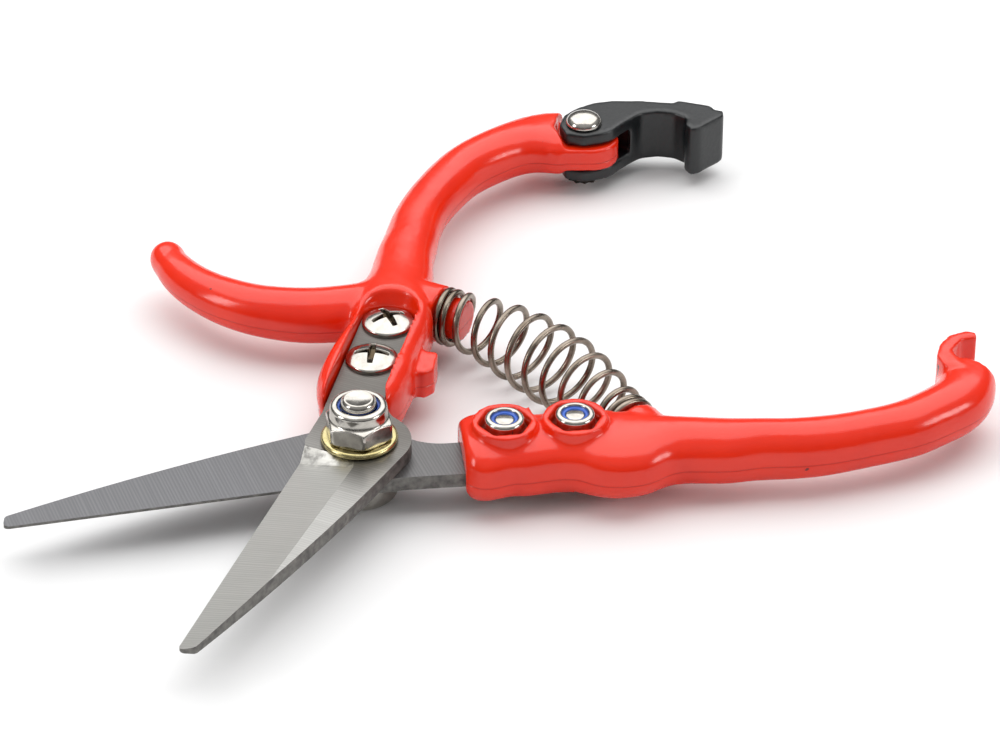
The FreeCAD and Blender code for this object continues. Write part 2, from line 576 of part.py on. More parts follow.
# ---- latch ---------------------------------------------------------------------------------------
def latch_outline(grow=0.0):
    """Plan of the latch about its rivet, with +x towards the hook; grow stands it off all round."""
    g = grow
    r = LATCH_REACH
    return [
        (r + 5.9 + g, 5.0), (r + 5.9 + g, 3.2 - g), (r + 1.4, -1.4 - g), (r - 0.2 - g, -2.0 - g),
        (r - 1.3 - g, -0.2), (r - 1.0 - g, 2.2 - g), (r - 3.2, 4.0 - g), (r - 6.0, 4.6 - g),
        (r - 9.2, 3.8 - g), (r - 12.4, 0.4 - g),
        (r - 14.6, -2.6 - g), (3.3, -3.5 - g), (0, -LATCH_EYE_RADIUS - g), (-3.4 - g, -3.4 - g),
        (-LATCH_EYE_RADIUS - g, 0), (-3.6 - g, 3.4), (-1.2, 6.0 + g), (1.8, 7.9 + g), (5.2, 8.7 + g),
        (r - 9.0, 8.7 + g), (r - 3.0, 7.9 + g), (r - 2.4, 8.9 + g), (r + 3.8, 6.8 + g),
        (r + 4.3 + g, 5.4 + g),
    ]


def turned_latch_point(x, y, angle):
    a = radians(angle)
    return (RIVET[0] + x * cos(a) - y * sin(a), RIVET[1] + x * sin(a) + y * cos(a))


# latched, the lip lies in the gap behind the lower handle's beak
CATCH_GAP = (GRIP_END_X + 1.2, -10.3)
LATCH_SHUT = degrees(atan2(-CATCH_GAP[1] - RIVET[1], CATCH_GAP[0] - RIVET[0]))


def make_latch():
    half = LATCH_HEIGHT / 2
    latch = extrude([turned_latch_point(x, y, LATCH_REST) for x, y in latch_outline()], -half, half)
    slot = TONGUE_THICKNESS / 2 + LATCH_SLOT_CLEARANCE
    room = LATCH_SLOT_DEPTH
    inner = [(-9, -9), (room, -9), (room, 3.0), (room - 4.0, 5.6), (-2.0, 9), (-9, 9)]
    latch = latch.cut(extrude([turned_latch_point(x, y, LATCH_REST) for x, y in inner], -slot, slot))
    running = RIVET_DIAMETER + 2 * RIVET_RUNNING_CLEARANCE
    return largest(latch.cut(cylinder(running, -half - 1, half + 1, RIVET)))


def latch_room(start, step):
    """Space that the latch needs, with clearance, as it turns from start in four more steps."""
    half = LATCH_HEIGHT / 2 + LATCH_CLEARANCE
    positions = []
    for k in range(5):
        outline = [turned_latch_point(x, y, start + k * step) for x, y in latch_outline(LATCH_CLEARANCE)]
        positions.append(extrude(outline, -half, half))
    return positions[0].multiFuse(positions[1:])


def hook_room():
    """Space that the closing hook sweeps at the lower handle, in that handle's own frame."""
    room = latch_room(LATCH_SHUT, 6)
    room.rotate(vec(0, 0, 0), vec(1, 0, 0), 180)
    return room


def make_rivet():
    seat = LATCH_HEIGHT / 2 + TURNING_GAP
    radius = RIVET_HEAD_DIAMETER / 2
    rise = RIVET_HEAD_HEIGHT - RIVET_HEAD_RIM
    ball = (radius ** 2 + rise ** 2) / (2 * rise)
    dome = Part.makeSphere(ball, vec(RIVET[0], RIVET[1], seat + RIVET_HEAD_HEIGHT - ball))
    head = dome.common(cylinder(RIVET_HEAD_DIAMETER, seat, seat + RIVET_HEAD_HEIGHT, RIVET))
    return largest(head.fuse(cylinder(RIVET_DIAMETER, -seat - CAP_THICKNESS - RIVET_END, seat + 0.1, RIVET)))


def make_rivet_cap():
    """Push-on cap: a toothed disc on the rivet's lower end."""
    top = -LATCH_HEIGHT / 2 - TURNING_GAP
    points = []
    for k in range(2 * CAP_TEETH):
        radius = CAP_DIAMETER / 2 if k % 2 == 0 else CAP_DIAMETER / 2 - CAP_TOOTH_DEPTH
        angle = math.pi * k / CAP_TEETH
        points.append((RIVET[0] + radius * cos(angle), RIVET[1] + radius * sin(angle)))
    disc = extrude(points, top - CAP_THICKNESS, top)
    return disc.cut(cylinder(RIVET_DIAMETER, top - 2 * CAP_THICKNESS, top + 1, RIVET))


# ---- pivot ---------------------------------------------------------------------------------------
WASHER_BOTTOM = BLADE_TOP + TURNING_GAP
NUT_BOTTOM = WASHER_BOTTOM + WASHER_THICKNESS
NUT_TOP = NUT_BOTTOM + PIVOT_NUT_HEIGHT


def make_pivot_bolt():
    """Plain head below, square neck in the lower blade, round shank, chamfered end."""
    under = -BLADE_TOP
    r = PIVOT_HEAD_DIAMETER / 2
    low = under - PIVOT_HEAD_HEIGHT
    head = revolve([(0, low), (r - 1.0, low), (r - 0.3, low + 0.3), (r, low + 1.0), (r, under - 0.3),
                    (r - 0.3, under), (0, under)])
    half = PIVOT_SQUARE / 2
    neck = Part.makeBox(PIVOT_SQUARE, PIVOT_SQUARE, BLADE_THICKNESS, vec(-half, -half, under))
    end = NUT_TOP + PIVOT_PROTRUSION
    shank = revolve([(0, under - 0.5), (PIVOT_DIAMETER / 2, under - 0.5), (PIVOT_DIAMETER / 2, end - 0.9),
                     (PIVOT_DIAMETER / 2 - 1.0, end), (0, end)])
    return largest(head.fuse(neck).fuse(shank).removeSplitter())


def make_washer():
    disc = cylinder(WASHER_DIAMETER, WASHER_BOTTOM, WASHER_BOTTOM + WASHER_THICKNESS)
    rims = [e for e in disc.Edges if abs(e.Length - math.pi * WASHER_DIAMETER) < 0.01]
    disc = disc.makeFillet(WASHER_ROUND, rims)
    bore = PIVOT_DIAMETER + 2 * WASHER_BORE_CLEARANCE
    return disc.cut(cylinder(bore, WASHER_BOTTOM - 1, WASHER_BOTTOM + WASHER_THICKNESS + 1))


# ---- return spring -------------------------------------------------------------------------------
def make_spring(upper_seat, lower_seat):
    """Envelope of the barrel spring: a hollow bowed barrel as thick as the wire, seat to seat."""
    (ax, ay), start_heading = upper_seat
    (bx, by), peg_heading = lower_seat
    end_heading = peg_heading + 180
    ax += TURNING_GAP * cos(radians(start_heading))
    ay += TURNING_GAP * sin(radians(start_heading))
    bx += TURNING_GAP * cos(radians(peg_heading))
    by += TURNING_GAP * sin(radians(peg_heading))
    span = hypot(bx - ax, by - ay)
    count = 13
    rows = {0.0: [], SPRING_WIRE: []}
    for k in range(count):
        t = k / (count - 1)
        # cubic curve that leaves both pegs along their own axes
        h00, h10 = 2 * t ** 3 - 3 * t ** 2 + 1, t ** 3 - 2 * t ** 2 + t
        h01, h11 = -2 * t ** 3 + 3 * t ** 2, t ** 3 - t ** 2
        d00, d10 = 6 * t ** 2 - 6 * t, 3 * t ** 2 - 4 * t + 1
        d01, d11 = -6 * t ** 2 + 6 * t, 3 * t ** 2 - 2 * t
        s, e = radians(start_heading), radians(end_heading)
        x = h00 * ax + h10 * span * cos(s) + h01 * bx + h11 * span * cos(e)
        y = h00 * ay + h10 * span * sin(s) + h01 * by + h11 * span * sin(e)
        dx = d00 * ax + d10 * span * cos(s) + d01 * bx + d11 * span * cos(e)
        dy = d00 * ay + d10 * span * sin(s) + d01 * by + d11 * span * sin(e)
        swell = sin(math.pi * min(max((t - 0.08) / 0.84, 0.0), 1.0)) ** 1.2
        outer = (SPRING_END_DIAMETER + (SPRING_MIDDLE_DIAMETER - SPRING_END_DIAMETER) * swell) / 2
        for wall, wires in rows.items():
            circle = Part.makeCircle(outer - wall, vec(x, y), vec(dx, dy))
            wires.append(Part.Wire([circle]))
    outside = Part.makeLoft(rows[0.0], True, False)
    inside = Part.makeLoft(rows[SPRING_WIRE], True, False)
    return largest(outside.cut(inside))


# ---- assembly ------------------------------------------------------------------------------------
def place_upper(shape):
    shape = shape.copy()
    shape.rotate(vec(0, 0, 0), Z, OPEN_ANGLE / 2)
    shape.translate(vec(0, 0, BLADE_PLANE))
    return shape


def place_lower(shape):
    shape = shape.copy()
    shape.rotate(vec(0, 0, 0), vec(1, 0, 0), 180)
    shape.rotate(vec(0, 0, 0), Z, -OPEN_ANGLE / 2)
    shape.translate(vec(0, 0, BLADE_PLANE))
    return shape


def place_seat(seat, flipped):
    """A spring seat's place and heading in the object's frame, at the height of the blade plane."""
    (x, y), heading = seat
    turn = -OPEN_ANGLE / 2 if flipped else OPEN_ANGLE / 2
    if flipped:
        y, heading = -y, -heading
    a = radians(turn)
    return (x * cos(a) - y * sin(a), x * sin(a) + y * cos(a)), heading + turn


def screw_set(place, prefix, turns):
    """Two screws with their nuts and nylon rings for one half."""
    nodes = {}
    seat = BLADE_BOTTOM - NUT_SEAT
    length = BLADE_TOP - seat + SCREW_NUT_HEIGHT + SCREW_PROTRUSION
    for at, name, turn in ((FRONT_SCREW, "front", turns[0]), (REAR_SCREW, "rear", turns[1])):
        screw = moved(pan_screw(length, turn), at[0], at[1], BLADE_TOP)
        nut, ring = locknut(SCREW_DIAMETER, SCREW_NUT_FLATS, SCREW_NUT_HEIGHT, degrees(TANG_DIRECTION))
        for key, shape in (("nut", nut), ("nut_insert", ring)):
            shape.rotate(vec(0, 0, 0), vec(cos(TANG_DIRECTION), sin(TANG_DIRECTION)), 180)
            nodes[f"{prefix}_{key}_{name}"] = place(moved(shape, at[0], at[1], seat))
        nodes[f"{prefix}_screw_{name}"] = place(screw)
    return nodes


def build():
    nodes = {
        "upper_handle": place_upper(make_upper_handle()),
        "lower_handle": place_lower(make_lower_handle(hook_room())),
        "upper_blade": place_upper(make_blade(square_hole=False)),
        "lower_blade": place_lower(make_blade(square_hole=True)),
        "latch": place_upper(make_latch()),
        "latch_rivet": place_upper(make_rivet()),
        "latch_rivet_cap": place_upper(make_rivet_cap()),
    }
    nodes.update(screw_set(place_upper, "upper", (20, 52)))
    nodes.update(screw_set(place_lower, "lower", (35, 70)))
    bolt = make_pivot_bolt()
    bolt.rotate(vec(0, 0, 0), Z, -OPEN_ANGLE / 2)
    nut, ring = locknut(PIVOT_DIAMETER, PIVOT_NUT_FLATS, PIVOT_NUT_HEIGHT, PIVOT_NUT_TURN)
    nodes["pivot_bolt"] = moved(bolt, z=BLADE_PLANE)
    nodes["pivot_washer"] = moved(make_washer(), z=BLADE_PLANE)
    nodes["pivot_nut"] = moved(nut, z=BLADE_PLANE + NUT_BOTTOM)
    nodes["pivot_nut_insert"] = moved(ring, z=BLADE_PLANE + NUT_BOTTOM)
    spring = make_spring(place_seat(UPPER_SPRING_SEAT, False), place_seat(LOWER_SPRING_SEAT, True))
    nodes["return_spring"] = moved(spring, z=BLADE_PLANE)
    return nodes


os.makedirs("parts", exist_ok=True)
for name, shape in build().items():
    shape.exportStep(f"parts/{name}.step")
    print(name, "valid" if shape.isValid() else "NOT VALID", round(shape.Volume, 1), len(shape.Solids))
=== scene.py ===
"""Pruning shears, drawn open: enamelled cast handles, ground blades, plated fasteners, a wire spring.

Sizes are in millimetres and heights are above the table; MM turns them to metres where a mesh is made.
Each half has its own flat frame, as if the shears were closed: x along the shears towards the tip,
y across them, z up from the plane where the blades meet. The lower half's frame is turned over.
"""
import json
import math

import bmesh
import bpy
import numpy as np
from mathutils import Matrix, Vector


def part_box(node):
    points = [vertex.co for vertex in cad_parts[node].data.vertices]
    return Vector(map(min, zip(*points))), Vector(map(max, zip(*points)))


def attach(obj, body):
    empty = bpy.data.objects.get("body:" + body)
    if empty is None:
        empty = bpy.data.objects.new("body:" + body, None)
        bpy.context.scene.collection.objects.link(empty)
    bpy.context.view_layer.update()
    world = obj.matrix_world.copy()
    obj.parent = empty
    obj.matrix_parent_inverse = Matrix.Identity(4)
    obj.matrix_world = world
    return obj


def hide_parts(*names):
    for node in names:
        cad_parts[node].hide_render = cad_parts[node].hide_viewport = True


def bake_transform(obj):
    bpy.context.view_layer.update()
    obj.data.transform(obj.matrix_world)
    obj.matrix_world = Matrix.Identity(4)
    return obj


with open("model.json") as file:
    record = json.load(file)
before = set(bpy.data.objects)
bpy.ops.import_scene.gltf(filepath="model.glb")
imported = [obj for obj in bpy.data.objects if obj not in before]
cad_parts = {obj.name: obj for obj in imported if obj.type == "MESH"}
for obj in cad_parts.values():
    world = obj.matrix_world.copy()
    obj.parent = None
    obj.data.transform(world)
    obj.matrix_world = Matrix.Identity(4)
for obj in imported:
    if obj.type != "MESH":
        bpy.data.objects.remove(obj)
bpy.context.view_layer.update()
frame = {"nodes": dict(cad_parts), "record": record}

MM = 0.001

# ---- sizes shared with the solid model ---------------------------------------------------------
OPEN_ANGLE = 44.5
BLADE_PLANE = 7.62
TANG_TURN = 13.2
SPRING_END_DIAMETER = 10.0
SPRING_MIDDLE_DIAMETER = 13.8
SPRING_WIRE = 1.1
UPPER_SPRING_SEAT = ((-42.8, -6.3), 90.0)
LOWER_SPRING_SEAT = ((-44.0, -9.1), 79.0)
SPRING_OPEN_TURNS = 8.6
SPRING_CLOSED_TURNS = (2.4, 1.9)      # at the lower seat and at the upper seat
SPRING_CLOSED_PITCH = 1.2              # wire thicknesses per closed turn
SPRING_FIRST_ANGLE = 200.0            # degrees round the coil at the lower seat

SCREW_HEAD_DIAMETER = 8.8
SCREW_DIAMETER = 4.0
SCREW_NUT = (7.0, 5.0)                # across flats, height
SCREW_NUT_MOUTH = 2.2                 # radius
PIVOT_DIAMETER = 6.0
PIVOT_NUT = (10.0, 5.9)
PIVOT_NUT_MOUTH = 3.42                # radius
PIVOT_NUT_TURN = 57.5
PIVOT_SQUARE = 6.4

SEAM_HEIGHT = BLADE_PLANE - 0.6

BODY_OF = {n: b for b, names in frame["record"]["behaviour"]["bodies"].items() for n in names}


# ---- meshes ------------------------------------------------------------------------------------
def shown(name, points, faces, node=None, body=None, material=None, cross_shade_share=None):
    """Adds a mesh from points in millimetres, with doubles merged and faces outwards.
    The last argument gives, point by point, how far a point lies in a screw's sunk cross; it is kept on the mesh as an
    attribute that paints the colour darker there, a painted shade."""
    mesh = bpy.data.meshes.new(name)
    mesh.from_pydata(points * MM, [], faces)
    if cross_shade_share is not None:
        mesh.attributes.new("painted_cross_shade", "FLOAT", "POINT").data.foreach_set("value", cross_shade_share.astype(np.float32))
    tidy = bmesh.new()
    tidy.from_mesh(mesh)
    bmesh.ops.remove_doubles(tidy, verts=tidy.verts, dist=1e-7)
    bmesh.ops.recalc_face_normals(tidy, faces=tidy.faces)
    tidy.to_mesh(mesh)
    tidy.free()
    return finished(bpy.data.objects.new(name, mesh), node, body, material)


def finished(piece, node=None, body=None, material=None):
    """Links a piece, shades it smooth, gives it its material, hides the solid node it stands for and hangs it on that
    node's body or the body given.
    """
    if piece.name not in bpy.context.scene.collection.objects:
        bpy.context.scene.collection.objects.link(piece)
    piece.data.shade_smooth()
    if material:
        piece.data.materials.clear()
        piece.data.materials.append(material)
    if node:
        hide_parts(node)
        body = BODY_OF[node]
    if body:
        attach(piece, body)
    return piece


def grid_faces(rows, columns):
    """Quads over a grid whose columns close on themselves."""
    r, c = np.meshgrid(np.arange(rows - 1), np.arange(columns), indexing="ij")
    right = (c + 1) % columns
    quads = np.stack([r * columns + c, r * columns + right, (r + 1) * columns + right, (r + 1) * columns + c], -1)
    return quads.reshape(-1, 4).tolist()


def turned(rows, at, up=1, turn=0.0, segments=96):
    """Turned piece: row k is a circle of radius r at height z along the axis, (r, z).

    A row (r, z, sides, flats) is that circle cut to a regular polygon, so the radius at angle a is the
    smaller of r and (flats / 2) / cos(angle from the nearest flat's middle). Hex corners stand at turn.
    """
    angle = np.linspace(0, 2 * np.pi, segments, endpoint=False)
    layers = []
    for row in rows:
        radius = np.full(segments, float(row[0]))
        if len(row) > 2:
            share = 2 * np.pi / row[2]
            from_flat = (angle - math.radians(turn)) % share - share / 2
            radius = np.minimum(radius, row[3] / 2 / np.cos(from_flat))
        layers.append(np.stack([radius * np.cos(angle), radius * np.sin(angle),
                                np.full(segments, up * row[1])], -1))
    points = np.concatenate(layers) + np.array(at)
    return points, grid_faces(len(rows), segments)


def arc(r_centre, z_centre, radius, start, end, count=5):
    """Rows round an arc in the (r, z) plane, from one angle to another in degrees."""
    a = np.radians(np.linspace(start, end, count))
    return list(zip(r_centre + radius * np.cos(a), z_centre + radius * np.sin(a)))


# ---- castings ----------------------------------------------------------------------------------
def waves(points, length, seed):
    """Smooth unevenness between -1 and 1: the mean of sines along fixed random directions."""
    rng = np.random.default_rng(seed)
    total = np.zeros(len(points))
    count = 9
    for _ in range(count):
        direction = rng.normal(size=3)
        direction /= np.linalg.norm(direction) * length * rng.uniform(0.7, 1.6)
        total += np.sin(points @ direction * 2 * np.pi + rng.uniform(0, 2 * np.pi))
    return total / count * 1.6


def relaxed(points, first, second, passes, share, back=0.0):
    """Points drawn towards the mean of their neighbours, passes times, each by its own share, and
    each time pushed back by a part of it, so that edges round off while the piece keeps its size."""
    count = len(points)
    degree = np.bincount(first, minlength=count) + np.bincount(second, minlength=count)
    for _ in range(passes):
        for step in (share, -back * share):
            mean = np.stack([np.bincount(first, points[second, k], count)
                             + np.bincount(second, points[first, k], count) for k in range(3)], -1)
            points = points + step[:, None] * (mean / degree[:, None] - points)
    return points


def cast_skin(name, node, voxel, soften, passes, soft_spots=(), uneven=0.0):
    """Skin of a moulded or cast piece: the solid's surface, evenly remeshed, with its edges and inner
    corners rounded. soft_spots are (x, y, z, reach, passes) where a corner is filled more."""
    source = frame["nodes"][node]
    mesh = source.data.copy()
    merged = bmesh.new()
    merged.from_mesh(mesh)
    bmesh.ops.remove_doubles(merged, verts=merged.verts, dist=1e-6)
    merged.to_mesh(mesh)
    merged.free()
    rough = bpy.data.objects.new(name + "_rough", mesh)
    bpy.context.scene.collection.objects.link(rough)
    remesh = rough.modifiers.new("even", "REMESH")
    remesh.mode = "VOXEL"
    remesh.voxel_size = voxel * MM
    bpy.context.view_layer.update()
    skin = bpy.data.meshes.new_from_object(rough.evaluated_get(bpy.context.evaluated_depsgraph_get()))
    bpy.data.objects.remove(rough)
    skin.name = name

    count = len(skin.vertices)
    points = np.empty(count * 3)
    skin.vertices.foreach_get("co", points)
    points = points.reshape(-1, 3) / MM
    edges = np.empty(len(skin.edges) * 2, dtype=np.int64)
    skin.edges.foreach_get("vertices", edges)
    first, second = edges.reshape(-1, 2).T
    points = relaxed(points, first, second, soften, np.full(count, 0.5))
    points = relaxed(points, first, second, passes, np.full(count, 0.6), back=1.02)
    for x, y, z, reach, extra in soft_spots:
        distance = np.linalg.norm(points - np.array([x, y, z]), axis=1)
        share = 0.5 * np.clip(1.6 - 1.6 * distance / reach, 0, 1)
        points = relaxed(points, first, second, extra, share)
    skin.vertices.foreach_set("co", (points * MM).ravel())
    skin.update()
    normals = np.empty(count * 3)
    skin.vertices.foreach_get("normal", normals)
    normals = normals.reshape(-1, 3)
    rise = uneven * waves(points, 9.0, seed=len(name)) - uneven
    skin.vertices.foreach_set("co", ((points + normals * rise[:, None]) * MM).ravel())
    skin.update()
    return bpy.data.objects.new(name, skin)


# ---- materials ---------------------------------------------------------------------------------
def colour(text):
    """Linear colour of an sRGB hex value."""
    parts = [int(text[k:k + 2], 16) / 255 for k in (0, 2, 4)]
    return (*[p / 12.92 if p <= 0.04045 else ((p + 0.055) / 1.055) ** 2.4 for p in parts], 1.0)


def add(tree, kind, sockets=None, **settings):
    """Adds a node with its settings; each socket takes a value or another node's output."""
    node = tree.nodes.new(kind)
    for key, value in settings.items():
        setattr(node, key, value)
    for key, value in (sockets or {}).items():
        if isinstance(value, bpy.types.NodeSocket):
            tree.links.new(value, node.inputs[key])
        else:
            node.inputs[key].default_value = value
    return node


def started(name):
    """A new material with a Principled shader; gives the material, its tree, the shader and Object coordinates."""
    material = bpy.data.materials.new(name)
    material.use_nodes = True
    tree = material.node_tree
    place = add(tree, "ShaderNodeTexCoord").outputs["Object"]
    return material, tree, tree.nodes["Principled BSDF"], place


def connect(tree, output, shader, socket):
    tree.links.new(output, shader.inputs[socket])


def ramp(tree, factor, stops, interpolation="LINEAR"):
    """Colour ramp from (position, linear colour) stops."""
    made = add(tree, "ShaderNodeValToRGB", {"Fac": factor})
    made.color_ramp.interpolation = interpolation
    elements = made.color_ramp.elements
    while len(elements) < len(stops):
        elements.new(0.5)
    for element, (position, value) in zip(elements, stops):
        element.position = position
        element.color = value
    return made.outputs["Color"]


def grey(value):
    return (value, value, value, 1.0)


def red_enamel():
    """Baked enamel, sprayed on a casting: wet-looking gloss over a slightly wavy red skin, with a faint
    orange peel, a few tiny dark chips, and a fine dark line where the halves of the mould met."""
    material, tree, shader, place = started("red_baked_enamel")
    cloud = add(tree, "ShaderNodeTexNoise", {"Vector": place, "Scale": 90.0, "Detail": 3.0})
    tone = ramp(tree, cloud.outputs["Fac"], [(0.3, colour("DC2408")), (0.7, colour("E82C0C"))])
    specks = add(tree, "ShaderNodeTexNoise", {"Vector": place, "Scale": 420.0, "Detail": 1.0})
    chips = ramp(tree, specks.outputs["Fac"], [(0.79, grey(0.0)), (0.805, grey(1.0))])
    chipped = add(tree, "ShaderNodeMix", {"Factor": chips, "A": tone, "B": colour("6A140A")}, data_type="RGBA")
    height = add(tree, "ShaderNodeSeparateXYZ", {"Vector": place}).outputs["Z"]
    level = add(tree, "ShaderNodeMapRange", {"Value": height, "From Min": (SEAM_HEIGHT - 1.0) * MM,
                                             "From Max": (SEAM_HEIGHT + 1.0) * MM}).outputs["Result"]
    seam = ramp(tree, level, [(0.43, grey(0.0)), (0.47, grey(1.0)), (0.53, grey(1.0)), (0.57, grey(0.0))])
    facing = add(tree, "ShaderNodeSeparateXYZ",
                 {"Vector": add(tree, "ShaderNodeNewGeometry").outputs["Normal"]}).outputs["Z"]
    upright = add(tree, "ShaderNodeMath", {0: facing}, operation="ABSOLUTE").outputs[0]
    on_side = ramp(tree, upright, [(0.35, grey(0.5)), (0.6, grey(0.0))])
    seam_share = add(tree, "ShaderNodeMath", {0: seam, 1: on_side}, operation="MULTIPLY").outputs[0]
    lined = add(tree, "ShaderNodeMix", {"Factor": seam_share, "A": chipped.outputs["Result"],
                                        "B": colour("B4200E")}, data_type="RGBA")
    connect(tree, lined.outputs["Result"], shader, "Base Color")
    peel = add(tree, "ShaderNodeTexNoise", {"Vector": place, "Scale": 700.0, "Detail": 2.0})
    dust = ramp(tree, peel.outputs["Fac"], [(0.35, grey(0.15)), (0.7, grey(0.25))])
    connect(tree, dust, shader, "Roughness")
    bump = add(tree, "ShaderNodeBump", {"Height": peel.outputs["Fac"], "Strength": 0.05, "Distance": 0.0004})
    groove = add(tree, "ShaderNodeBump", {"Height": seam_share, "Normal": bump.outputs["Normal"],
                                          "Strength": 0.5, "Distance": 0.0003}, invert=True)
    connect(tree, groove.outputs["Normal"], shader, "Normal")
    shader.inputs["IOR"].default_value = 1.5
    return material


def ground_steel(name, along_at, hub, face, bevel):
    """Tool steel, surface ground: fine straight grinding lines across the blade, which lies at along_at
    degrees, its colour darker towards the hub and tang; the bevel is ground paler, and rough for its first few
    millimetres; the cut side faces are dark and rough from stamping and hardening."""
    material, tree, shader, place = started(name)
    turned_to_blade = add(tree, "ShaderNodeMapping", {"Vector": place, "Rotation": (0, 0, math.radians(-along_at))})
    stretched = add(tree, "ShaderNodeMapping", {"Vector": turned_to_blade.outputs["Vector"],
                                                "Rotation": (0, 0, math.radians(6)), "Scale": (1.0, 0.02, 0.2)})
    bands = add(tree, "ShaderNodeTexWave", {"Vector": stretched.outputs["Vector"], "Scale": 0.314 / (0.55 * MM),
                                            "Distortion": 5.0, "Detail": 3.0, "Detail Scale": 1.5})
    lines = add(tree, "ShaderNodeTexNoise", {"Vector": stretched.outputs["Vector"], "Scale": 1800.0, "Detail": 1.0})
    grain = add(tree, "ShaderNodeTexNoise", {"Vector": place, "Scale": 900.0, "Detail": 4.0})
    along = add(tree, "ShaderNodeSeparateXYZ", {"Vector": turned_to_blade.outputs["Vector"]}).outputs["X"]
    from_hub = add(tree, "ShaderNodeMapRange", {"Value": along, "From Min": -0.004, "From Max": 0.020}).outputs["Result"]
    heel = add(tree, "ShaderNodeMapRange", {"Value": along, "From Min": 0.005, "From Max": 0.009,
                                            "To Min": 1.0, "To Max": 0.0}).outputs["Result"]
    facing = add(tree, "ShaderNodeSeparateXYZ",
                 {"Vector": add(tree, "ShaderNodeNewGeometry").outputs["True Normal"]}).outputs["Z"]
    upright = add(tree, "ShaderNodeMath", {0: facing}, operation="ABSOLUTE").outputs[0]
    on_bevel = ramp(tree, upright, [(0.5, grey(0.0)), (0.6, grey(1.0)), (0.985, grey(1.0)), (0.995, grey(0.0))])
    on_side = ramp(tree, upright, [(0.4, grey(1.0)), (0.6, grey(0.0))])
    plain = ramp(tree, from_hub, [(0.0, colour(hub)), (1.0, colour(face))])
    flat = add(tree, "ShaderNodeMix", {"Factor": on_bevel, "A": plain, "B": colour(bevel)}, data_type="RGBA")
    mixed_lines = add(tree, "ShaderNodeMath", {0: bands.outputs["Fac"], 1: lines.outputs["Fac"]},
                      operation="MULTIPLY").outputs[0]
    line_tone = ramp(tree, mixed_lines, [(0.0, grey(0.86)), (0.6, grey(1.0))])
    lined = add(tree, "ShaderNodeMix", {"Factor": 1.0, "A": flat.outputs["Result"], "B": line_tone},
                data_type="RGBA", blend_type="MULTIPLY")
    rough_heel = add(tree, "ShaderNodeMath", {0: heel, 1: on_bevel}, operation="MULTIPLY").outputs[0]
    torn = ramp(tree, grain.outputs["Fac"], [(0.36, colour("7A7874")), (0.56, colour("C4C2BC"))])
    heeled = add(tree, "ShaderNodeMix", {"Factor": rough_heel, "A": lined.outputs["Result"], "B": torn},
                 data_type="RGBA")
    side_tone = ramp(tree, grain.outputs["Fac"], [(0.3, colour("62615F")), (0.7, colour("8A8884"))])
    whole = add(tree, "ShaderNodeMix", {"Factor": on_side, "A": heeled.outputs["Result"], "B": side_tone},
                data_type="RGBA")
    connect(tree, whole.outputs["Result"], shader, "Base Color")
    sheen = ramp(tree, mixed_lines, [(0.0, grey(0.42)), (0.6, grey(0.36))])
    rough = add(tree, "ShaderNodeMix", {"Factor": on_side, "A": sheen, "B": grey(0.6)}, data_type="RGBA")
    connect(tree, rough.outputs["Result"], shader, "Roughness")
    coarse = add(tree, "ShaderNodeMath", {0: on_side, 1: rough_heel}, operation="MAXIMUM").outputs[0]
    height = add(tree, "ShaderNodeMix", {"Factor": coarse, "A": bands.outputs["Color"], "B": grain.outputs["Color"]},
                 data_type="RGBA")
    bump = add(tree, "ShaderNodeBump", {"Height": height.outputs["Result"], "Strength": 0.10, "Distance": 0.0001})
    connect(tree, bump.outputs["Normal"], shader, "Normal")
    shader.inputs["Metallic"].default_value = 1.0
    return material


def plated(name, low, high, roughness, scale=600.0, bump=0.03, painted_cross_shade=None):
    """Plated steel: bright, with a slight unevenness in tone and sheen where the plating is thicker;
    the last argument is a dark colour painted into a screw's sunk cross, by the share kept on the mesh: painted shade."""
    material, tree, shader, place = started(name)
    cloud = add(tree, "ShaderNodeTexNoise", {"Vector": place, "Scale": scale, "Detail": 3.0})
    tone = ramp(tree, cloud.outputs["Fac"], [(0.3, colour(low)), (0.7, colour(high))])
    if painted_cross_shade:
        inside = add(tree, "ShaderNodeAttribute", attribute_name="painted_cross_shade").outputs["Fac"]
        tone = add(tree, "ShaderNodeMix", {"Factor": inside, "A": tone, "B": colour(painted_cross_shade)},
                   data_type="RGBA").outputs["Result"]
    connect(tree, tone, shader, "Base Color")
    sheen = ramp(tree, cloud.outputs["Fac"], [(0.3, grey(roughness * 0.8)), (0.7, grey(roughness * 1.3))])
    connect(tree, sheen, shader, "Roughness")
    dents = add(tree, "ShaderNodeBump", {"Height": cloud.outputs["Fac"], "Strength": bump, "Distance": 0.0002})
    connect(tree, dents.outputs["Normal"], shader, "Normal")
    shader.inputs["Metallic"].default_value = 1.0
    return material


def moulded(name, low, high, roughness, grit):
    """Injection-moulded nylon: a satin skin with a fine matt grit and broad, weak changes in sheen."""
    material, tree, shader, place = started(name)
    cloud = add(tree, "ShaderNodeTexNoise", {"Vector": place, "Scale": 160.0, "Detail": 2.0})
    connect(tree, ramp(tree, cloud.outputs["Fac"], [(0.3, colour(low)), (0.7, colour(high))]), shader, "Base Color")
    fine = add(tree, "ShaderNodeTexNoise", {"Vector": place, "Scale": grit, "Detail": 2.0})
    sheen = ramp(tree, fine.outputs["Fac"], [(0.3, grey(roughness - 0.06)), (0.7, grey(roughness + 0.08))])
    connect(tree, sheen, shader, "Roughness")
    bump = add(tree, "ShaderNodeBump", {"Height": fine.outputs["Fac"], "Strength": 0.12, "Distance": 0.0002})
    connect(tree, bump.outputs["Normal"], shader, "Normal")
    shader.inputs["IOR"].default_value = 1.53
    return material


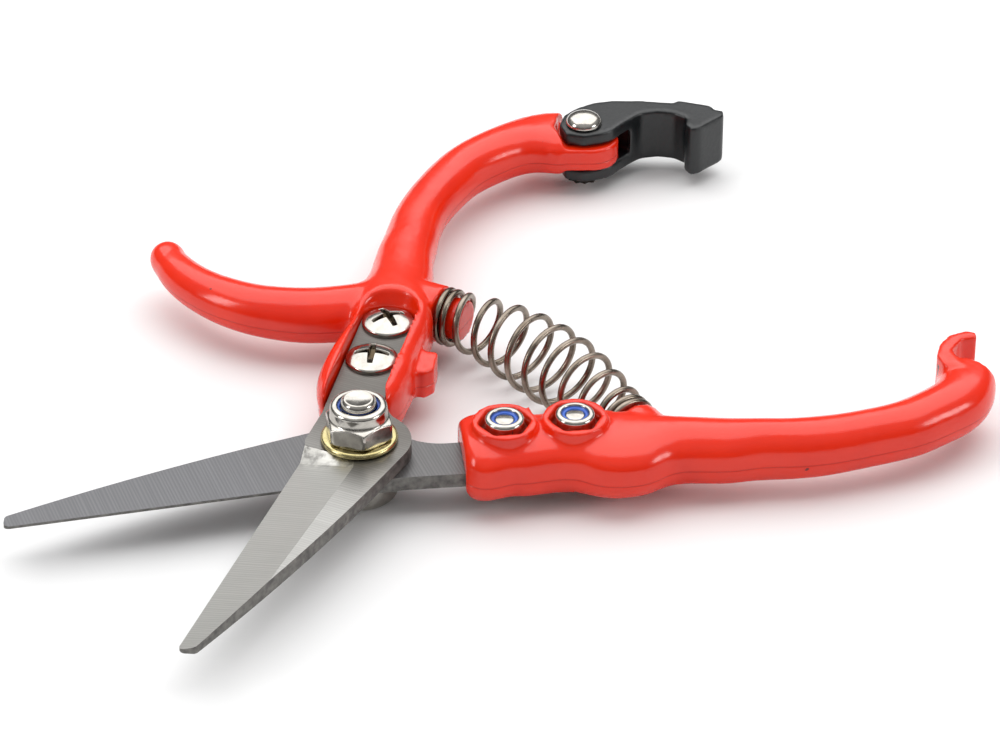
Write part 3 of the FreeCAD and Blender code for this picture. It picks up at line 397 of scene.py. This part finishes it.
ENAMEL = red_enamel()
UPPER_STEEL = ground_steel("ground_tool_steel_upper", OPEN_ANGLE / 2, "6E6B67", "A6A5A2", "B3B2AE")
# The lower blade is the same ground steel as the upper one, its tones set much darker: painted shade, for the light
# its faces catch less of.
LOWER_STEEL_PAINTED_SHADE = ground_steel("ground_tool_steel_lower_painted_shade", -OPEN_ANGLE / 2, "6C6B6B", "717173", "787879")
NICKEL = plated("bright_nickel_plate", "A5A19A", "C3BFB8", 0.16)
# The screws' sunk crosses get a dark brown-grey colour: painted shade in the cross.
SCREW_NICKEL = plated("bright_nickel_screw", "A5A19A", "C0BCB5", 0.17, painted_cross_shade="4E4334")
WIRE = plated("nickel_plated_spring_wire", "6E6358", "9A8F83", 0.26, 300.0, 0.06)
ZINC = plated("yellow_zinc_plate", "A89C6C", "CFC392", 0.24)
BLACKENED = plated("blackened_steel", "24231F", "3C3A37", 0.45)
NYLON_BLACK = moulded("moulded_black_nylon", "04080A", "0A0F12", 0.34, 1500.0)
NYLON_BLUE = moulded("blue_nylon", "1B3F9A", "2C5FC4", 0.34, 1200.0)


# ---- handles and latch -------------------------------------------------------------------------
finished(cast_skin("upper_handle_casting", "upper_handle", 0.4, 2, 16, uneven=0.04, soft_spots=(
    (-22.7, -29.0, 7.0, 8.0, 50), (-31.0, -36.0, 7.0, 8.0, 50), (-40.5, -27.7, 7.0, 5.0, 30),
    (-26.0, -12.0, 7.0, 3.5, 16))),
    node="upper_handle", material=ENAMEL)
finished(cast_skin("lower_handle_casting", "lower_handle", 0.4, 2, 16, uneven=0.04, soft_spots=(
    (-41.6, 29.2, 7.0, 5.0, 30), (-86.5, 49.5, 7.0, 4.5, 24))),
    node="lower_handle", material=ENAMEL)
finished(cast_skin("latch_moulding", "latch", 0.28, 14, 30, uneven=0.02), node="latch",
         material=NYLON_BLACK)

# ---- blades ------------------------------------------------------------------------------------
for node, steel in (("upper_blade", UPPER_STEEL), ("lower_blade", LOWER_STEEL_PAINTED_SHADE)):
    blade = frame["nodes"][node]
    blade.data.materials.clear()
    blade.data.materials.append(steel)
frame["nodes"]["latch_rivet_cap"].data.materials.clear()
frame["nodes"]["latch_rivet_cap"].data.materials.append(BLACKENED)


# ---- fasteners ---------------------------------------------------------------------------------
def centre_of(node):
    """Middle of a node's box in plan, and its lowest and highest point, in millimetres."""
    low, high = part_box(node)
    middle = (low + high) / 2 / MM
    return middle.x, middle.y, low.z / MM, high.z / MM


def screw(node, up, turn, nut_end):
    """Pan screw: a low dome on a thin rim, sunk by a cross whose arms are a band across and a band
    along; the depth falls smoothly from the arms' edges to a flat floor."""
    x, y, low, high = centre_of(node)
    top = high if up > 0 else low
    rings, segments = 90, 180
    r = np.linspace(0, 1, rings)[:, None] * SCREW_HEAD_DIAMETER / 2
    a = np.linspace(0, 2 * np.pi, segments, endpoint=False)[None, :]
    edge = r / (SCREW_HEAD_DIAMETER / 2)
    dome = -0.35 - 1.4 * edge ** 2.1 - 0.15 * np.clip((edge - 0.95) / 0.05, 0, 1) ** 2
    u, v = r * np.cos(a - math.radians(turn)), r * np.sin(a - math.radians(turn))
    narrow, wide = np.minimum(np.abs(u), np.abs(v)), np.maximum(np.abs(u), np.abs(v))
    # each arm is a band that narrows outwards; its walls fall steeply to a floor that rises outwards
    half_arm = 0.66 - 0.08 * wide
    sunk = np.clip((half_arm - narrow) / 0.14, 0, 1) * np.clip((2.9 - wide) / 0.22, 0, 1)
    depth = sunk * (1.7 - 0.36 * wide)
    head = np.stack([r * np.cos(a), r * np.sin(a), up * (dome - depth)], -1).reshape(-1, 3)
    head += np.array([x, y, top])
    rim = SCREW_HEAD_DIAMETER / 2
    seat = 2.4
    rows = [(rim, 1.9), (rim, seat - 0.12), (rim - 0.12, seat), (SCREW_DIAMETER / 2, seat)]
    rows += threaded(SCREW_DIAMETER / 2, seat, nut_end - 0.5, 0.7)
    rows += [(SCREW_DIAMETER / 2 - 0.15, nut_end - 0.5), (SCREW_DIAMETER / 2 - 0.55, nut_end - 0.06)]
    rows += [(SCREW_DIAMETER / 2 - 0.65, nut_end), (0.0, nut_end)]
    lower, _ = turned([(row[0], -row[1]) for row in rows], (x, y, top), up, segments=segments)
    # how far each head point lies in the sunk cross; the colour is painted darker there, a painted shade
    cross_shade_share = np.concatenate([np.broadcast_to(sunk, (rings, segments)).ravel(), np.zeros(len(lower))])
    return np.concatenate([head, lower]), grid_faces(rings + len(rows), segments), cross_shade_share


def threaded(radius, start, end, pitch):
    """Rows of a shank whose surface rises and falls by a thread's depth once every pitch."""
    z = np.arange(start + 0.2, end, pitch / 4)
    return list(zip(radius - 0.12 + 0.12 * np.cos(2 * np.pi * z / pitch), z))


def locknut(node, up, flats, height, bore, mouth, turn):
    """Lock nut: a hexagon chamfered top and bottom, a round crown rolled in over the nylon ring."""
    x, y, low, high = centre_of(node)
    seat = low if up > 0 else high
    crown = flats * 0.955 / 2
    hex_top = height * 0.6
    corner = flats / math.sqrt(3)
    reach = corner - crown
    lip = height * 0.07
    ring_top = height - 1.2 * lip
    rows = [(bore / 2, 0.3), (bore / 2 + 0.25, 0.0), (flats * 0.48, 0.0, 6, flats)]
    rows += [(flats * 0.48 + (corner - flats * 0.48) * k / 6, 0.55 * reach * k / 6, 6, flats) for k in range(1, 7)]
    rows += [(corner, hex_top - 0.6 * reach, 6, flats)]
    rows += [(corner - (corner - crown) * k / 6, hex_top - 0.6 * reach * (1 - k / 6), 6, flats) for k in range(1, 7)]
    rows += [(crown - 0.12, hex_top + 0.12)]
    bend = 1.9 * lip
    rows += arc(crown - 0.12 - bend, height - bend, bend, 0, 80, 9)
    rows += arc(mouth + 0.25, height - 0.25, 0.25, 100, 180, 4)
    rows += [(mouth, ring_top - 0.5), (bore / 2, ring_top - 0.5), (bore / 2, 0.3)]
    return turned(rows, (x, y, seat), up, turn, segments=144)


def nylon_ring(node, bore, mouth, lip):
    """Nylon ring: a short tube that fills the nut's mouth; its upper lip reaches in to radius lip,
    with a rounded edge."""
    x, y, low, high = centre_of(node)
    outer = mouth - 0.01
    height = high - low
    reach = height - 0.45
    rows = [(outer, 0.0), (outer, height)] + arc(lip + 0.2, height - 0.2, 0.2, 90, 180, 5)
    rows += [(lip, reach), (bore / 2, reach), (bore / 2, 0.0), (outer, 0.0)]
    return (x, y, low, high), rows


HALVES = {
    "upper": (1, 1, OPEN_ANGLE / 2, (20, 52)),
    "lower": (-1, -1, -OPEN_ANGLE / 2, (35, 70)),
}
for half, (up, flip, opened, turns) in HALVES.items():
    tang = flip * (180 + TANG_TURN) + opened
    for where, turn in zip(("front", "rear"), turns):
        name = f"{half}_screw_{where}"
        x, y, low, high = centre_of(name)
        points, faces, cross_shade_share = screw(name, up, flip * turn + opened, high - low)
        shown(name + "_plated", points, faces, name, material=SCREW_NICKEL, cross_shade_share=cross_shade_share)
        name = f"{half}_nut_{where}"
        points, faces = locknut(name, -up, *SCREW_NUT, SCREW_DIAMETER, SCREW_NUT_MOUTH, tang)
        shown(name + "_plated", points, faces, name, material=NICKEL)
        name = f"{half}_nut_insert_{where}"
        (x, y, low, high), rows = nylon_ring(name, SCREW_DIAMETER, SCREW_NUT_MOUTH, 1.6)
        points, faces = turned(rows, (x, y, high if up > 0 else low), -up)
        shown(name + "_ring", points, faces, name, material=NYLON_BLUE)

points, faces = locknut("pivot_nut", 1, *PIVOT_NUT, PIVOT_DIAMETER, PIVOT_NUT_MOUTH, PIVOT_NUT_TURN)
shown("pivot_nut_plated", points, faces, "pivot_nut", material=NICKEL)
(x, y, low, high), rows = nylon_ring("pivot_nut_insert", PIVOT_DIAMETER, PIVOT_NUT_MOUTH, PIVOT_DIAMETER / 2)
points, faces = turned(rows, (x, y, low))
shown("pivot_nut_ring", points, faces, "pivot_nut_insert", material=NYLON_BLUE)


def pivot_bolt():
    """Bolt: a round head with rounded rims, a square neck, a threaded shank and a chamfered end."""
    x, y, low, high = centre_of("pivot_bolt")
    head_low, head_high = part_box("pivot_bolt")
    head = (head_high.x - head_low.x) / 2 / MM
    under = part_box("lower_blade")[0].z / MM
    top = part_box("upper_blade")[1].z / MM
    rows = [(0.0, low), (head - 1.3, low)] + arc(head - 1.1, low + 1.1, 1.1, -80, 0, 8)
    rows += arc(head - 0.4, under - 0.4, 0.4, 0, 90, 5)
    neck = PIVOT_SQUARE
    rows += [(neck, under, 4, neck), (neck, under + 2.4, 4, neck), (PIVOT_DIAMETER / 2, under + 2.45)]
    rows += [(PIVOT_DIAMETER / 2, top)] + threaded(PIVOT_DIAMETER / 2, top, high - 0.62, 1.0)
    rows += [(PIVOT_DIAMETER / 2 - 0.15, high - 0.55), (PIVOT_DIAMETER / 2 - 0.6, high - 0.08)]
    rows += [(PIVOT_DIAMETER / 2 - 0.75, high), (PIVOT_DIAMETER / 2 - 0.95, high - 0.08), (0.0, high - 0.12)]
    return turned(rows, (x, y, 0.0), turn=45 - OPEN_ANGLE / 2)


points, faces = pivot_bolt()
shown("pivot_bolt_plated", points, faces, "pivot_bolt", material=NICKEL)


def washer():
    """Washer: a flat ring, punched, with its outer edge rolled."""
    x, y, low, high = centre_of("pivot_washer")
    outer = (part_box("pivot_washer")[1].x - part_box("pivot_washer")[0].x) / 2 / MM
    height = high - low
    edge = height / 2
    inner = PIVOT_DIAMETER / 2 + 0.2
    rows = [(inner, 0.0), (outer - edge, 0.0)] + arc(outer - edge, edge, edge, -90, 90, 9)
    rows += [(inner + 0.1, height), (inner, height - 0.1), (inner, 0.0)]
    return turned(rows, (x, y, low))


points, faces = washer()
shown("pivot_washer_plated", points, faces, "pivot_washer", material=ZINC)


def rivet():
    """Rivet: a domed head over a thin rim, and a plain shank."""
    x, y, low, high = centre_of("latch_rivet")
    head = (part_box("latch_rivet")[1].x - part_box("latch_rivet")[0].x) / 2 / MM
    rise = 2.1
    rows = [(0.0, low), (1.7, low), (2.0, low + 0.3), (2.0, high - rise)]
    rows += [(head - 0.15, high - rise), (head, high - rise + 0.12)]
    share = np.linspace(0, 1, 14)
    rows += list(zip(head * np.cos(share * np.pi / 2), high - rise + 0.25 + (rise - 0.25) * np.sin(share * np.pi / 2)))
    return turned(rows, (x, y, 0.0))


points, faces = rivet()
shown("latch_rivet_plated", points, faces, "latch_rivet", material=NICKEL)


# ---- return spring -----------------------------------------------------------------------------
def seat_in_place(seat, flip, opened):
    """A spring seat's place and heading, from its half's frame to the open shears."""
    (x, y), heading = seat
    a = math.radians(opened)
    y = flip * y
    return np.array([x * math.cos(a) - y * math.sin(a), x * math.sin(a) + y * math.cos(a)]), flip * heading + opened


def spring():
    """Barrel spring: a round wire wound about a bowed centre line.

    The centre line is the cubic curve that leaves both pegs along their own axes. Turn n sits where the
    pitch adds up to: one wire per turn in the closed turns at both ends, the same pitch between them.
    The coil's radius swells from the ends to the middle as a sine. The wire is a circle across its path.
    """
    (start, start_heading) = seat_in_place(LOWER_SPRING_SEAT, -1, -OPEN_ANGLE / 2)
    (end, end_heading) = seat_in_place(UPPER_SPRING_SEAT, 1, OPEN_ANGLE / 2)
    span = np.linalg.norm(end - start)
    s, e = math.radians(start_heading), math.radians(end_heading + 180)
    out, into = span * np.array([math.cos(s), math.sin(s)]), span * np.array([math.cos(e), math.sin(e)])
    t = np.linspace(0, 1, 400)[:, None]
    line = ((2 * t ** 3 - 3 * t ** 2 + 1) * start + (t ** 3 - 2 * t ** 2 + t) * out
            + (3 * t ** 2 - 2 * t ** 3) * end + (t ** 3 - t ** 2) * into)
    length = np.concatenate([[0], np.cumsum(np.linalg.norm(np.diff(line, axis=0), axis=1))])
    closed_low, closed_high = SPRING_CLOSED_TURNS
    turns = closed_low + SPRING_OPEN_TURNS + closed_high
    tight = SPRING_WIRE * SPRING_CLOSED_PITCH
    n = np.linspace(0, turns, int(turns * 56))
    open_length = length[-1] - SPRING_WIRE - tight * (closed_low + closed_high)
    open_turns = np.clip(n - closed_low, 0, SPRING_OPEN_TURNS)
    place = (SPRING_WIRE / 2 + tight * (n - open_turns) + open_length * open_turns / SPRING_OPEN_TURNS)
    share = place / length[-1]
    x, y = np.interp(place, length, line[:, 0]), np.interp(place, length, line[:, 1])
    slope = np.gradient(line, axis=0)
    heading = np.arctan2(slope[:, 1], slope[:, 0])
    heading = np.interp(place, length, np.unwrap(heading))
    swell = np.sin(np.pi * np.clip((share - 0.08) / 0.84, 0, 1)) ** 1.2
    radius = (SPRING_END_DIAMETER + (SPRING_MIDDLE_DIAMETER - SPRING_END_DIAMETER) * swell) / 2 - SPRING_WIRE / 2
    angle = SPRING_HAND * 2 * np.pi * n + math.radians(SPRING_FIRST_ANGLE)
    side = np.stack([-np.sin(heading), np.cos(heading), np.zeros_like(n)], -1)
    up = np.array([0.0, 0.0, 1.0])
    radial = np.cos(angle)[:, None] * side + np.sin(angle)[:, None] * up
    path = np.stack([x, y, np.full_like(n, BLADE_PLANE)], -1) + radius[:, None] * radial
    tangent = np.gradient(path, axis=0)
    tangent /= np.linalg.norm(tangent, axis=1)[:, None]
    out_of_coil = radial - (radial * tangent).sum(1)[:, None] * tangent
    out_of_coil /= np.linalg.norm(out_of_coil, axis=1)[:, None]
    along = np.cross(tangent, out_of_coil)
    sides = 14
    round_wire = np.linspace(0, 2 * np.pi, sides, endpoint=False)
    ring = (np.cos(round_wire)[None, :, None] * out_of_coil[:, None, :]
            + np.sin(round_wire)[None, :, None] * along[:, None, :]) * SPRING_WIRE / 2
    points = (path[:, None, :] + ring).reshape(-1, 3)
    faces = grid_faces(len(n), sides)
    faces += [list(range(sides)), list(range(len(points) - sides, len(points)))]
    return points, faces, open_turns / SPRING_OPEN_TURNS


SPRING_HAND = 1                       # 1 winds one way about the centre line, -1 the other
points, faces, weight = spring()
coil = shown("return_spring_wire", points, faces, material=WIRE)
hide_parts("return_spring")
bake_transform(coil)


# ---- floor, light and camera -------------------------------------------------------------------
def stage():
    """A plain pale floor, three soft lights and the camera."""
    bpy.ops.mesh.primitive_plane_add(size=6.0, location=(0, 0, 0))
    floor = bpy.context.object
    floor.name = "studio_floor"
    paint, tree, shader, place = started("pale_floor_paint")
    cloud = add(tree, "ShaderNodeTexNoise", {"Vector": place, "Scale": 3.0})
    connect(tree, ramp(tree, cloud.outputs["Fac"], [(0.3, grey(0.78)), (0.7, grey(0.80))]), shader, "Base Color")
    shader.inputs["Roughness"].default_value = 0.9
    shader.inputs["Specular IOR Level"].default_value = 0.0
    floor.data.materials.append(paint)

    def soft_light(name, at, size, power):
        lamp = bpy.data.lights.new(name, "AREA")
        lamp.shape = "RECTANGLE"
        lamp.size, lamp.size_y = size
        lamp.energy = power
        holder = bpy.data.objects.new(name, lamp)
        holder.location = at
        holder.rotation_mode = "QUATERNION"
        holder.rotation_quaternion = (Vector((-0.03, 0, 0)) - Vector(at)).to_track_quat("-Z", "Y")
        bpy.context.scene.collection.objects.link(holder)

    soft_light("overhead_box", (-0.35, -0.35, 1.10), (2.2, 1.8), 23.5)
    soft_light("left_box", (0.75, -0.35, 0.40), (0.25, 0.40), 2.2)
    soft_light("right_box", (-0.50, 0.80, 0.35), (0.40, 0.25), 2.2)

    world = bpy.context.scene.world or bpy.data.worlds.new("studio")
    bpy.context.scene.world = world
    world.use_nodes = True
    tree = world.node_tree
    height = add(tree, "ShaderNodeSeparateXYZ", {"Vector": add(tree, "ShaderNodeTexCoord").outputs["Generated"]})
    sky = ramp(tree, height.outputs["Z"], [(0.0, grey(0.10)), (0.3, grey(0.22)), (0.75, grey(0.6))])
    backdrop = tree.nodes["Background"]
    tree.links.new(sky, backdrop.inputs["Color"])
    backdrop.inputs["Strength"].default_value = 1.0

    lens = bpy.data.cameras.new("photograph_view")
    lens.lens = 145.08
    lens.sensor_width = 36.0
    camera = bpy.data.objects.new("camera", lens)
    camera.location = (0.3435, 0.4118, 0.3758)
    camera.rotation_mode = "QUATERNION"
    camera.rotation_quaternion = Vector((-0.5614, -0.6180, -0.5504)).to_track_quat("-Z", "Y")
    bpy.context.scene.collection.objects.link(camera)
    bpy.context.scene.camera = camera
    bpy.context.scene.view_settings.view_transform = "Standard"


stage()
